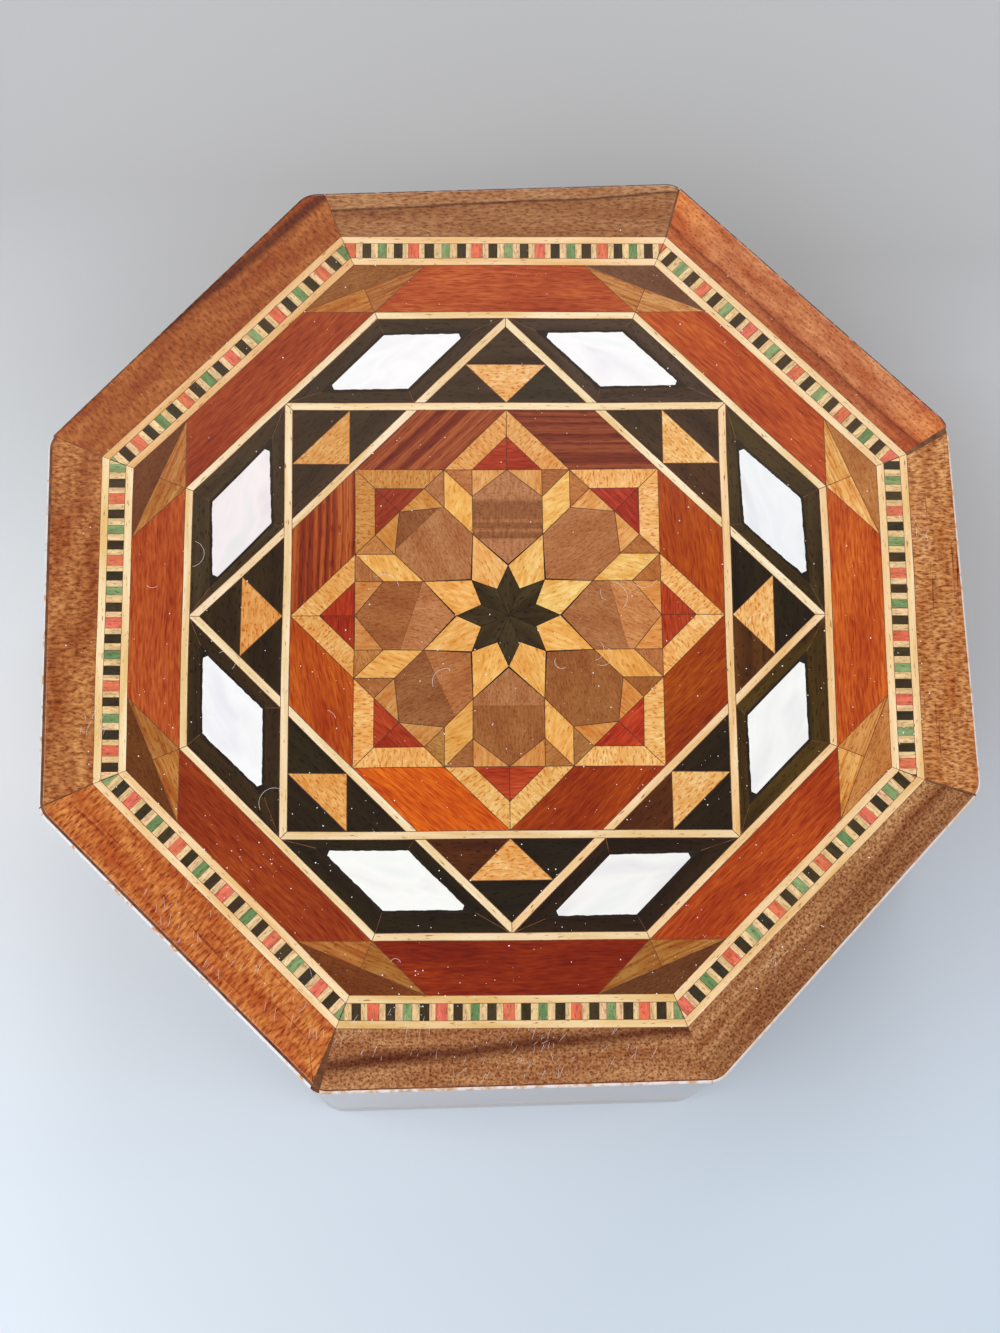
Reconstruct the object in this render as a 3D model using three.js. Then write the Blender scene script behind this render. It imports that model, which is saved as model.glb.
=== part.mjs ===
import * as THREE from 'three';

// An octagonal box of marquetry work with a lift-off lid. The lid is faced with woods and
// mother-of-pearl, laid out round an eight-pointed star. Millimetres, +Z up, underside on z = 0.

// Sides run counter-clockwise from the far side, n. Corner k lies between side k and side k + 1.
const SIDES = ['n', 'nw', 'w', 'sw', 's', 'se', 'e', 'ne'];
const CORNERS = ['nnw', 'wnw', 'wsw', 'ssw', 'sse', 'ese', 'ene', 'nne'];
const STEP = (2 * Math.PI) / SIDES.length;

// The lid was planed by hand: the distance from the middle of the star to each of its edges,
// and the degrees that each edge is turned from the pattern, counter-clockwise.
const LID_REACH = { n: 52.5, nw: 52.7, w: 52.5, sw: 52.7, s: 52.8, se: 52.3, e: 52.0, ne: 52.3 };
const LID_TURN = { n: 1.8, nw: 1.3, w: 0.6, sw: 0.1, s: 1.2, se: 1.6, e: 1.9, ne: 0.7 };

// Heights
const BOTTOM_THICKNESS = 4;
const WALL_HEIGHT = 29;
const LID_BOARD_THICKNESS = 6;
const INLAY_THICKNESS = 1;
const PLUG_THICKNESS = 3; // the panel under the lid that keeps it in place

// The box below the lid
const BODY_SETBACK = 0.3; // how far the walls stand back from the lid's edge
const WALL_THICKNESS = 5;
const PLUG_CLEARANCE = 0.6;

// The rings of the inlay: distances from the middle to the flats of each octagon
const BAND_OUTER = 46.3; // between the border and the striped banding
const BAND_INNER = 42.7;
const STRING_OUTER = 36.8; // the pale line round the star panel
const STRING_INNER = 35.95;

// The star of pale lines: two squares, one turned by 45 degrees
const STAR_LINE = 25.1; // to the middle of the line
const STAR_LINE_WIDTH = 0.9;
const PEARL_FRAME = 1.6; // ebony round each lozenge of mother-of-pearl
const CENTRE_TIP = 5.9;
const CENTRE_NOTCH = 3.35;

const GLUE_LINE = 0.1; // between neighbouring pieces of the inlay

const finish = (color, roughness) => new THREE.MeshStandardMaterial({ color, roughness, metalness: 0 });
const walnut = finish('#8a5636', 0.35);
const darkWalnut = finish('#6e4327', 0.35);
const padauk = finish('#b5602e', 0.35);
const carcaseWood = finish('#b98f5e', 0.6);
const bandingWood = finish('#8f9a6a', 0.35);
const mahogany = finish('#a84325', 0.35);
const cornerWood = finish('#a9752c', 0.35);
const stringing = finish('#f3dda8', 0.35);
const ebony = finish('#2e2820', 0.3);
const pearl = finish('#f4f4f6', 0.2);
const rosetteWood = finish('#d9a35a', 0.35);

const sideAngle = (k) => Math.PI / 2 + k * STEP;
const cornerAngle = (k) => sideAngle(k) + STEP / 2;
const polar = (angle, radius) => new THREE.Vector2(radius * Math.cos(angle), radius * Math.sin(angle));

// The point where two lines meet, each given by the angle of its normal and its distance
function meet(angleA, reachA, angleB, reachB) {
  const turn = Math.sin(angleB - angleA);
  const x = (reachA * Math.sin(angleB) - reachB * Math.sin(angleA)) / turn;
  const y = (reachB * Math.cos(angleA) - reachA * Math.cos(angleB)) / turn;
  return new THREE.Vector2(x, y);
}

const regularOctagon = (reach) => SIDES.map((_, k) => meet(sideAngle(k), reach, sideAngle(k + 1), reach));

// The lid's outline, or one that follows it at a distance inside
const lidEdgeAngle = (k) => sideAngle(k) + THREE.MathUtils.degToRad(LID_TURN[SIDES[k]]);
function lidOctagon(setback) {
  return SIDES.map((side, k) => {
    const next = (k + 1) % SIDES.length;
    return meet(lidEdgeAngle(k), LID_REACH[side] - setback, lidEdgeAngle(next), LID_REACH[SIDES[next]] - setback);
  });
}

// A counter-clockwise outline with every edge moved inwards, or outwards where distance is negative
function inset(outline, distance) {
  return outline.map((point, i) => {
    const before = outline[(i + outline.length - 1) % outline.length];
    const after = outline[(i + 1) % outline.length];
    const normalIn = point.clone().sub(before).rotateAround(new THREE.Vector2(), Math.PI / 2).normalize();
    const normalOut = after.clone().sub(point).rotateAround(new THREE.Vector2(), Math.PI / 2).normalize();
    const reach = distance / (1 + normalIn.dot(normalOut));
    return point.clone().addScaledVector(normalIn.add(normalOut), reach);
  });
}

// A flat piece of even thickness
function plate(name, outline, bottom, thickness, material, holes = []) {
  const shape = new THREE.Shape(outline);
  shape.holes = holes.map((hole) => new THREE.Path(hole));
  const mesh = new THREE.Mesh(
    new THREE.ExtrudeGeometry(shape, { depth: thickness, bevelEnabled: false }),
    material,
  );
  mesh.name = name;
  mesh.position.z = bottom;
  return mesh;
}

// The mitred length between two octagons on side k
function mitred(inner, outer, k) {
  const last = (k + SIDES.length - 1) % SIDES.length;
  return [outer[last], outer[k], inner[k], inner[last]];
}

const bodyTop = BOTTOM_THICKNESS + WALL_HEIGHT;
const inlayBottom = bodyTop + LID_BOARD_THICKNESS;
const inlay = (name, outline, material, holes) =>
  plate(name, inset(outline, GLUE_LINE / 2), inlayBottom, INLAY_THICKNESS, material, holes);

// The hollow box: a bottom board and eight mitred walls
function makeBody() {
  const body = new THREE.Group();
  const outer = lidOctagon(BODY_SETBACK);
  const inner = lidOctagon(BODY_SETBACK + WALL_THICKNESS);
  body.add(plate('bottom_board', outer, 0, BOTTOM_THICKNESS, carcaseWood));
  SIDES.forEach((side, k) => {
    body.add(plate(`wall_${side}`, mitred(inner, outer, k), BOTTOM_THICKNESS, WALL_HEIGHT, walnut));
  });
  return body;
}

// The board that carries the inlay, and the panel below it that fits loosely between the walls
function makeLidBoards() {
  const boards = new THREE.Group();
  boards.add(plate('lid_board', lidOctagon(0), bodyTop, LID_BOARD_THICKNESS, walnut));
  const plug = lidOctagon(BODY_SETBACK + WALL_THICKNESS + PLUG_CLEARANCE);
  boards.add(plate('lid_locating_panel', plug, bodyTop - PLUG_THICKNESS, PLUG_THICKNESS, carcaseWood));
  return boards;
}

// Eight border lengths, each in a wood of its own
function makeBorder() {
  const border = new THREE.Group();
  const woods = { n: walnut, nw: walnut, w: padauk, sw: padauk, s: darkWalnut, se: darkWalnut, e: padauk, ne: walnut };
  const inner = regularOctagon(BAND_OUTER);
  const outer = lidOctagon(0);
  SIDES.forEach((side, k) => {
    // A glue line is left at the mitres and along the banding, and the outer edge stays on the lid's edge.
    const [start, end, innerEnd, innerStart] = inset(mitred(inner, outer, k), GLUE_LINE / 2);
    const outwards = polar(lidEdgeAngle(k), GLUE_LINE / 2);
    const outline = [start.add(outwards), end.add(outwards), innerEnd, innerStart];
    border.add(plate(`border_${side}`, outline, inlayBottom, INLAY_THICKNESS, woods[side]));
  });
  return border;
}

// The rings between the border and the star panel. Each piece is drawn on side n, then turned.
function makeRings() {
  const rings = new THREE.Group();
  const bandOuter = regularOctagon(BAND_OUTER);
  const bandInner = regularOctagon(BAND_INNER);
  const stringOuter = regularOctagon(STRING_OUTER);
  const last = SIDES.length - 1;

  // Where the line of a neighbouring side of the star panel reaches the banding
  const cut = meet(sideAngle(0), BAND_INNER, sideAngle(1), STRING_OUTER);
  const cutBack = new THREE.Vector2(-cut.x, cut.y);
  const nextCut = meet(sideAngle(0), STRING_OUTER, sideAngle(1), BAND_INNER);

  SIDES.forEach((side, k) => {
    const banding = inlay(`banding_${side}`, mitred(bandInner, bandOuter, 0), bandingWood);
    const strip = [cutBack, cut, stringOuter[0], stringOuter[last]];
    const mahoganyStrip = inlay(`mahogany_${side}`, strip, mahogany);
    const diamond = inlay(`diamond_${CORNERS[k]}`, [stringOuter[0], cut, bandInner[0], nextCut], cornerWood);
    for (const piece of [banding, mahoganyStrip, diamond]) {
      piece.rotation.z = k * STEP;
      rings.add(piece);
    }
  });
  const hole = inset(regularOctagon(STRING_INNER), -GLUE_LINE / 2);
  rings.add(inlay('star_panel_line', stringOuter, stringing, [hole]));
  return rings;
}

// The ebony panel with its eight lozenges of mother-of-pearl, and the rosette in its middle
function makeStarPanel() {
  const panel = new THREE.Group();
  const lineOuter = STAR_LINE + STAR_LINE_WIDTH / 2;
  const lineInner = STAR_LINE - STAR_LINE_WIDTH / 2;

  // The field at corner 0 lies between two sides of the panel and the two squares of the star.
  const field = [
    meet(sideAngle(0), STRING_INNER, sideAngle(1), STRING_INNER),
    meet(sideAngle(0), lineOuter, sideAngle(1), STRING_INNER),
    meet(sideAngle(0), lineOuter, sideAngle(1), lineOuter),
    meet(sideAngle(0), STRING_INNER, sideAngle(1), lineOuter),
  ];
  const lozenge = inset(field, PEARL_FRAME);
  const middle = new THREE.Vector2();
  const seats = CORNERS.map((_, k) => lozenge.map((point) => point.clone().rotateAround(middle, k * STEP)));
  const rosetteSeat = regularOctagon(lineInner);

  panel.add(inlay('ebony_star_panel', regularOctagon(STRING_INNER), ebony, [...seats, rosetteSeat]));
  CORNERS.forEach((corner, k) => {
    const piece = inlay(`pearl_${corner}`, lozenge, pearl);
    piece.rotation.z = k * STEP;
    panel.add(piece);
  });

  // A tip points at the middle of each side and a notch at each corner.
  const star = SIDES.flatMap((_, k) => [polar(sideAngle(k), CENTRE_TIP), polar(cornerAngle(k), CENTRE_NOTCH)]);
  panel.add(inlay('rosette', rosetteSeat, rosetteWood, [star]));
  panel.add(inlay('centre_star', star, ebony));
  return panel;
}

const box = new THREE.Group();
box.add(makeBody(), makeLidBoards(), makeBorder(), makeRings(), makeStarPanel());

// The middle of the lid's edges comes over the origin, and the star lies a little off it.
const edges = new THREE.Box2().setFromPoints(lidOctagon(0)).getCenter(new THREE.Vector2());
box.position.set(-edges.x, -edges.y, 0);

export default box;
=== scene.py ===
# An octagonal box faced with marquetry and mother-of-pearl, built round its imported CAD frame.
import math
import random

import bpy
from mathutils import Matrix, Vector


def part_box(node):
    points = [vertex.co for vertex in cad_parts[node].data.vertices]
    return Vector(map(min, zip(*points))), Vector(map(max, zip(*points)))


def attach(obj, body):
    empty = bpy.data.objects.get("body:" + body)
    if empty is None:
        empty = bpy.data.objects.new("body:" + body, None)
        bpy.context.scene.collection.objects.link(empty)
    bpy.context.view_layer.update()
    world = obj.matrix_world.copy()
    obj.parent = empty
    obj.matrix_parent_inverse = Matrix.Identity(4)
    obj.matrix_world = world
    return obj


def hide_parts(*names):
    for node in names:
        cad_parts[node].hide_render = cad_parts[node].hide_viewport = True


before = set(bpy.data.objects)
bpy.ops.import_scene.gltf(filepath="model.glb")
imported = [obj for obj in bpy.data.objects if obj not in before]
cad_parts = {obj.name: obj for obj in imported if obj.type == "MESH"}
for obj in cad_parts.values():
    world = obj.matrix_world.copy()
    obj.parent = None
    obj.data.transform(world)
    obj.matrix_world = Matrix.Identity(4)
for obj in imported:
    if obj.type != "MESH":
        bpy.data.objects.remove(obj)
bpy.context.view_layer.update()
mm = 0.001

sides = ["n", "nw", "w", "sw", "s", "se", "e", "ne"]  # counter-clockwise from the far side
corners = ["nnw", "wnw", "wsw", "ssw", "sse", "ese", "ene", "nne"]  # corner k follows side k
step = math.pi / 4

starLow, starHigh = (Vector(corner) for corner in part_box("centre_star"))
middle = (starLow + starHigh) / 2  # everything on the lid is laid out round this point
lidTop = starHigh.z
inlayThickness = starHigh.z - starLow.z
surface = lidTop - 0.06 * mm  # of the wood; dust in the varnish stands up to lidTop
glueLine = 0.055 * mm  # between neighbouring pieces of the inlay
lidReach = 60 * mm  # a little more than any corner of the lid is from the middle


def facing(side):
    return Vector((-math.sin(side * step), math.cos(side * step)))


def polar(side, radius):
    return middle.xy + facing(side) * radius


def meet(sideA, reachA, sideB, reachB):
    # where two straight lines meet, each square to the direction of a side
    a, b = facing(sideA), facing(sideB)
    return middle.xy + Vector((reachA * b.y - reachB * a.y, reachB * a.x - reachA * b.x)) / a.cross(b)


def reachOf(place):
    # how far out a place is, square to the nearest side
    return max((place.xy - middle.xy).dot(facing(k)) for k in range(8))


def reaches(node, side):
    # the nearest and farthest distance of a CAD node from the middle, towards a side
    spread = [(v.co.xy - middle.xy).dot(facing(side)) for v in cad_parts[node].data.vertices]
    return min(spread), max(spread)


def met(*corners):
    # an outline, with each corner told as meet is told it
    return [meet(*corner) for corner in corners]


def outlineOf(node):
    # the corners of a CAD plate, counter-clockwise from the far side
    def bearing(corner):
        return math.atan2(middle.x - corner.x, corner.y - middle.y) % (2 * math.pi)

    places = {(round(v.co.x, 6), round(v.co.y, 6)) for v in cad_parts[node].data.vertices}
    return sorted(map(Vector, places), key=bearing)


def even(reach):
    return [meet(k, reach, k + 1, reach) for k in range(8)]


def mitred(inner, outer, k):
    return [outer[k - 1], outer[k], inner[k], inner[k - 1]]


def wound(outline):
    # the same outline, counter-clockwise
    area = sum(a.cross(b) for a, b in zip(outline, outline[1:] + outline[:1]))
    return outline if area > 0 else outline[::-1]


def outward(start, end):
    # the direction that an edge of a counter-clockwise outline faces
    run = end - start
    return Vector((run.y, -run.x)).normalized()


def shrunk(outline, gaps):
    # a counter-clockwise outline with each edge moved inwards by its own gap
    moved = []
    for i, point in enumerate(outline):
        a, b = outward(outline[i - 1], point), outward(point, outline[(i + 1) % len(outline)])
        lean = a.dot(b)
        shift = (a - b * lean) * gaps[i - 1] + (b - a * lean) * gaps[i]
        moved.append(point - shift / (1 - lean * lean))
    return moved


def cornerCuts(outline, radius):
    # for each corner, the cuts that round it: a place on each and the direction of the waste
    cuts = []
    for k, centre in enumerate(shrunk(outline, [radius] * len(outline))):
        before = outward(outline[k - 1], outline[k])
        after = outward(outline[k], outline[(k + 1) % len(outline)])
        aways = [before.lerp(after, share).normalized() for share in (0.2, 0.4, 0.6, 0.8)]
        cuts.append([(centre + away * radius, away) for away in aways])
    return cuts


def linear(hexColour):
    channels = [int(hexColour[i : i + 2], 16) / 255 for i in (0, 2, 4)]
    return [c / 12.92 if c <= 0.04045 else ((c + 0.055) / 1.055) ** 2.4 for c in channels] + [1.0]


def addNode(tree, kind, sockets=None, stops=(), **settings):
    # sockets holds what each one gets: another node's output, which is linked, or a value;
    # stops are the colours of a ramp; what comes back is the node's outputs
    node = tree.nodes.new("ShaderNode" + kind)
    for name, value in settings.items():
        setattr(node, name, value)
    for name, value in (sockets or {}).items():
        if isinstance(value, bpy.types.NodeSocket):
            tree.links.new(value, node.inputs[name])
        else:
            node.inputs[name].default_value = value
    for i, (place, hexColour) in enumerate(stops):
        marks = node.color_ramp.elements
        mark = marks[i] if i < 2 else marks.new(place)
        mark.position, mark.color = place, linear(hexColour)
    return node.outputs


def newMaterial(name, shaderValues):
    material = bpy.data.materials.new(name)
    material.use_nodes = True
    shader = material.node_tree.nodes["Principled BSDF"]
    for socket, value in shaderValues.items():
        shader.inputs[socket].default_value = value
    return material, material.node_tree, shader


white = "FFFFFF"

# Varnish: a clear glossy coat; the wood under it hardly shines, since the two bend light alike
varnished = {
    "Roughness": 0.5, "IOR": 1.45, "Specular IOR Level": 0.12,
    "Coat Weight": 1.0, "Coat Roughness": 0.1, "Coat IOR": 1.5,
}
sanded = {"Roughness": 0.62, "IOR": 1.45}


def wood(name, layers, finish=varnished, relief=0.15, waver=0.6):
    # each layer tints the board's own tone: noise drawn out along the grain, or one streak of growth
    material, tree, shader = newMaterial(name, finish)
    # the grain is mapped in millimetres, x along it, and wavers slowly from side to side
    straight = addNode(tree, "UVMap", uv_map="grain")[0]
    drift = {"Vector": straight, "Scale": 0.09, "Detail": 1.0}
    drift = addNode(tree, "TexNoise", drift)["Color"]
    drift = addNode(tree, "VectorMath", {0: drift, 1: (0.5, 0.5, 0.5)}, operation="SUBTRACT")[0]
    drift = {0: drift, 1: (0, 2 * waver, 0), 2: straight}
    grain = addNode(tree, "VectorMath", drift, operation="MULTIPLY_ADD")[0]
    colour = addNode(tree, "Attribute", attribute_name="boardTone")["Color"]
    for layer in layers:
        if "streak" in layer:
            across, degrees, width = layer["streak"]
            lie = {"Vector": grain, "Rotation": (0, 0, -math.radians(degrees))}
            lie = addNode(tree, "Mapping", lie)[0]
            lie = addNode(tree, "SeparateXYZ", {0: lie})["Y"]
            span = {"Value": lie, "From Min": across - width, "From Max": across + width}
            amount = addNode(tree, "MapRange", span)[0]
        else:
            length, width = layer["size"]
            along = {"Vector": grain, "Scale": (1 / length, 1 / width, 1)}
            along = addNode(tree, "Mapping", along)[0]
            if "pores" in layer:
                along = {"Vector": along, "Scale": 1.0}
                dots = addNode(tree, "TexVoronoi", along, voronoi_dimensions="2D")
                fade = {0: dots["Color"], 1: 0.4, 2: dots["Distance"]}  # some pores are smaller
                amount = addNode(tree, "Math", fade, operation="MULTIPLY_ADD")[0]
            else:
                fibre = {"Vector": along, "Scale": 1.0, "Detail": layer.get("detail", 1.0)}
                amount = addNode(tree, "TexNoise", fibre)["Fac"]
        ramp = addNode(tree, "ValToRGB", {"Fac": amount}, layer["stops"])["Color"]
        tint = {"Factor": 1.0, 6: colour, 7: ramp}
        colour = addNode(tree, "Mix", tint, data_type="RGBA", blend_type="MULTIPLY")[2]
    # the dark marks of the last layer are hollows
    hollows = {"Height": ramp, "Strength": relief, "Distance": 0.02 * mm}
    tree.links.new(colour, shader.inputs["Base Color"])
    tree.links.new(addNode(tree, "Bump", hollows)[0], shader.inputs["Normal"])
    return material


# The layers of a wood, with lengths along the grain and widths across it in millimetres
def cloud(length, width, darkest):
    return {"size": (length, width), "detail": 2.0, "stops": [(0.32, darkest), (0.66, white)]}


def flecks(length, width, tone, share=0.4):
    return {"size": (length, width), "stops": [(share - 0.07, tone), (share + 0.05, white)]}


def mottle(length, width, tone):
    # short marks of every size, crowding here and sparse there
    return {"size": (length, width), "detail": 3.0, "stops": [(0.34, tone), (0.62, white)]}


def pores(length, width, tone, reach=0.5):
    # separate pores, one to each length by width, the largest reaching this far to either side
    return {"pores": True, "size": (length, width), "stops": [(reach - 0.26, tone), (reach + 0.1, white)]}


def streak(across, degrees, halfWidth, stops):
    # one streak: its place across the grain, slope, half width and colours across
    return {"streak": (across, degrees, halfWidth), "stops": stops}


# Walnut seen on the walls: soft bands, a few growth rings and open pores along the grain
walnut = wood("varnished walnut", [
    cloud(60, 5, "DCC3B0"),
    {"size": (120, 8), "stops": [(0.465, white), (0.50, "8A6A54"), (0.515, white)]},
    flecks(0.9, 0.26, "7A5640", 0.4),
], relief=0.3)
# Mahogany: close and red, almost smooth, clouded from red to orange with faint silky streaks
mahogany = wood("varnished mahogany", [
    cloud(16, 5, "D8AC9C"),
    cloud(7, 0.45, "E6C4B8"),
    mottle(1.5, 0.24, "E2BCAE"),
    pores(2.6, 0.26, "D8A898", 0.44),
])
# Striped mahogany: straight dark stripes about 0.8 mm apart, some with a lilac tint that is a painted sheen
stripedMahogany = wood("varnished striped mahogany", [
    {"size": (70, 0.8), "stops": [(0.38, "BC8888"), (0.48, "E0BEB6"), (0.56, white)]},
    cloud(30, 0.25, "D4B0A8"),
    flecks(2.0, 0.2, "CC9A94", 0.4),
], relief=0.3, waver=0.3)
# Boxwood: pale and dense, with a sparse dark pore here and there
boxwood = wood("varnished boxwood", [
    cloud(12, 1.2, "ECD6AC"),
    flecks(1.1, 0.2, "A87E58", 0.31),
])
# Golden orange wood: silky, with soft short lines
goldenWood = wood("varnished orange wood", [
    cloud(3, 2, "F2DEBE"),
    cloud(1.8, 0.4, "EED2A4"),
    flecks(0.8, 0.22, "E2BA88", 0.36),
])
# The same wood with darker silky streaks
streakedGold = wood("varnished streaked orange wood", [
    cloud(3, 2, "F2DEBE"),
    {"size": (7, 0.34), "detail": 2.0, "stops": [(0.36, "DAB080"), (0.58, white)]},
    flecks(0.8, 0.22, "DDB280", 0.38),
])
# The same wood sawn across: the cut ends of its fibres show as a dense speckle
speckledWood = wood("varnished orange end grain", [
    cloud(5, 3, "F4E0C2"),
    cloud(1.0, 0.35, "EED0A2"),
    flecks(0.6, 0.22, "DEB27C", 0.40),
])
# Ebony: near black, with the faintest brown streaks
ebony = wood("varnished ebony", [
    cloud(12, 1.5, "B8A898"),
    flecks(0.9, 0.25, "A89888", 0.38),
])
# Brown heartwood of the petals: even, with fine pores
heartwood = wood("varnished brown heartwood", [
    cloud(6, 2.2, "E8D4C6"),
    mottle(1.0, 0.22, "E6D0C0"),
    pores(0.6, 0.26, "D8BCA8", 0.42),
])
# One petal was cut across its growth rings, so it is barred light and dark
barredHeartwood = wood("varnished barred heartwood", [
    streak(11.5, 0, 2.5, [
        (0.0, white), (0.05, "C0B2A6"), (0.16, "D4C8BC"), (0.22, "FAF2EC"), (0.28, "CCBEB2"),
        (0.38, "C8BAAE"), (0.44, "F4EAE4"), (0.52, "D4C6BA"), (0.9, "CCBEB2"), (1.0, white)]),
    mottle(0.3, 1.2, "DCCCC0"),
    pores(0.6, 0.26, "D8BCA8", 0.42),
], waver=0.12)
# Dyed veneer: poplar soaked in dye, so the colour is strong and the grain only just shows
dyedVeneer = wood("varnished dyed veneer", [
    cloud(2.5, 0.5, "D4D0C8"),
    flecks(0.6, 0.2, "CCC8C0", 0.40),
])
# Carcase wood: plain sanded deal that nobody sees with the lid on
deal = wood("sanded deal", [
    cloud(50, 2.2, "C49A6A"),
    flecks(8, 0.4, "D8BC98", 0.44),
], finish=sanded, relief=0.3)


def pearlMaterial():
    # polished nacre: white, with soft clouds of lilac, cream and green where its layers come up; the lilac
    # and green stand for its play of colour, a painted sheen
    polished = {"Roughness": 0.22, "IOR": 1.53, "Coat Weight": 1.0, "Coat Roughness": 0.08, "Coat IOR": 1.5}
    material, tree, shader = newMaterial("polished mother-of-pearl", polished)
    grain = addNode(tree, "UVMap", uv_map="grain")[0]
    drawn = addNode(tree, "Mapping", {"Vector": grain, "Scale": (1 / 9, 1 / 3.5, 1)})[0]
    clouds = addNode(tree, "TexNoise", {"Vector": drawn, "Scale": 1.0, "Detail": 2.0, "Distortion": 0.6})
    sheen = [(0.3, "F1F0F5"), (0.45, "FAFAFA"), (0.55, white), (0.72, "F3F9F8")]
    sheen = addNode(tree, "ValToRGB", {"Fac": clouds["Fac"]}, sheen)["Color"]
    own = addNode(tree, "Attribute", attribute_name="boardTone")["Color"]
    both = {0: 1.0, 6: sheen, 7: own}
    both = addNode(tree, "Mix", both, data_type="RGBA", blend_type="MULTIPLY")[2]
    tree.links.new(both, shader.inputs["Base Color"])
    return material


def arrisWearAndLight(name, colour, places):
    # varnish on an arris, where the board's own tone gives way to the colour in patches: a pale colour is
    # rubbed varnish with a painted highlight, a dark one is painted shade
    material, tree, shader = newMaterial(name, {**varnished, "Roughness": 0.4})
    place = addNode(tree, "TexCoord")["Object"]
    noise = addNode(tree, "TexNoise", {"Vector": place, "Scale": 1100.0, "Detail": 3.0})
    # the patches take the colour: wear with a painted highlight where it is pale, painted shade where it is
    # dark
    worn = [(places[0], "000000"), (places[1], white)]
    worn = addNode(tree, "ValToRGB", {"Fac": noise["Fac"]}, worn)["Color"]
    own = addNode(tree, "Attribute", attribute_name="boardTone")["Color"]
    patches = {0: worn, 6: own, 7: linear(colour)}
    mixed = addNode(tree, "Mix", patches, data_type="RGBA")[2]
    tree.links.new(mixed, shader.inputs["Base Color"])
    return material


def glueMaterial():
    # glue and sanding dust in the seams: golden brown at the rosette, near black beside the ebony,
    # dark brown in the mahogany and mid brown farther out
    material, tree, shader = newMaterial("glue in the seams", varnished)
    place = addNode(tree, "TexCoord")["Object"]
    noise = addNode(tree, "TexNoise", {"Vector": place, "Scale": 900.0, "Detail": 2.0})
    patches = [(0.3, "A88E7E"), (0.7, white)]
    patches = addNode(tree, "ValToRGB", {"Fac": noise["Fac"]}, patches)["Color"]
    reach = {0: place, 1: (*middle.xy, 0)}
    reach = addNode(tree, "VectorMath", reach, operation="DISTANCE")["Value"]
    reach = addNode(tree, "MapRange", {"Value": reach, "From Max": lidReach})[0]
    rings = [
        (0.3, "BC8A54"), (0.32, "33261C"), (0.69, "33261C"),
        (0.7, "5A4030"), (0.76, "5A4030"), (0.78, "84583C"),
    ]
    rings = addNode(tree, "ValToRGB", {"Fac": reach}, rings)["Color"]
    both = {0: 1.0, 6: rings, 7: patches}
    both = addNode(tree, "Mix", both, data_type="RGBA", blend_type="MULTIPLY")[2]
    tree.links.new(both, shader.inputs["Base Color"])
    return material


nacre = pearlMaterial()
glue = glueMaterial()
# the lit sides' arrises: rubbed and chipped varnish, made near white by a painted highlight
rubbedArrisWithHighlight = arrisWearAndLight("varnish rubbed pale with a painted highlight on an arris", "F6EFEC", (0.34, 0.44))
chipsAndHighlightOnArris = arrisWearAndLight("varnish chipped with a painted highlight on an arris", "F2E6E2", (0.37, 0.48))
softWearAndHighlightArris = arrisWearAndLight("varnish worn soft with a painted highlight on an arris", "ECDCD6", (0.38, 0.56))
# the far sides' arris: a dark colour that is painted shade
paintedShadeArris = arrisWearAndLight("painted shade on an arris", "3A2620", (0.3, 0.5))
print("materials mixed")

dice = random.Random(7)
touching = 1e-6  # points as near as this count as one


def deselect():
    bpy.ops.object.select_all(action="DESELECT")


def openMesh():
    bpy.ops.object.mode_set(mode="EDIT")


def closeMesh():
    bpy.ops.object.mode_set(mode="OBJECT")


def selectMesh():
    bpy.ops.mesh.select_all(action="SELECT")


def cutOff(place, away, fill=False):
    # saws the open mesh upright through a place and drops all that lies beyond, towards away
    plane = {"plane_co": (*place, 0), "plane_no": (*away, 0)}
    selectMesh()
    bpy.ops.mesh.bisect(clear_outer=True, use_fill=fill, threshold=touching, **plane)


def sawn(outline, top, thickness, cuts=()):
    # a blank is sawn along each edge of the outline and along other cuts, then thickened downwards
    centre = sum(outline, Vector((0, 0))) / len(outline)
    blank = 2.5 * max((point - centre).length for point in outline)
    deselect()
    bpy.ops.mesh.primitive_plane_add(size=blank, location=(centre.x, centre.y, top))
    piece = bpy.context.object
    openMesh()
    edges = [(start, outward(start, end)) for start, end in zip(outline, outline[1:] + outline[:1])]
    for place, away in [*edges, *cuts]:
        cutOff(place, away)
    selectMesh()
    bpy.ops.mesh.extrude_region_move(TRANSFORM_OT_translate={"value": (0, 0, -thickness)})
    selectMesh()
    bpy.ops.mesh.normals_make_consistent(inside=False)
    closeMesh()
    bpy.ops.object.transform_apply(location=True, rotation=False, scale=False)
    return piece


def inlaid(outline, cuts=()):
    return sawn(shrunk(wound(outline), [glueLine / 2] * len(outline)), surface, inlayThickness, cuts)


def copied(piece, change):
    copy = piece.copy()
    copy.data = piece.data.copy()
    copy.data.transform(change)
    bpy.context.collection.objects.link(copy)
    return copy


def turnOf(k):
    # the turn that takes the pattern's side 0 to side k
    centre = Matrix.Translation(middle)
    return centre @ Matrix.Rotation(k * step, 4, "Z") @ centre.inverted()


# Every board is cut from a place of its own on a long plank, all in millimetres
plank = {"reach": 300, "nextSide": 130}


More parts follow.
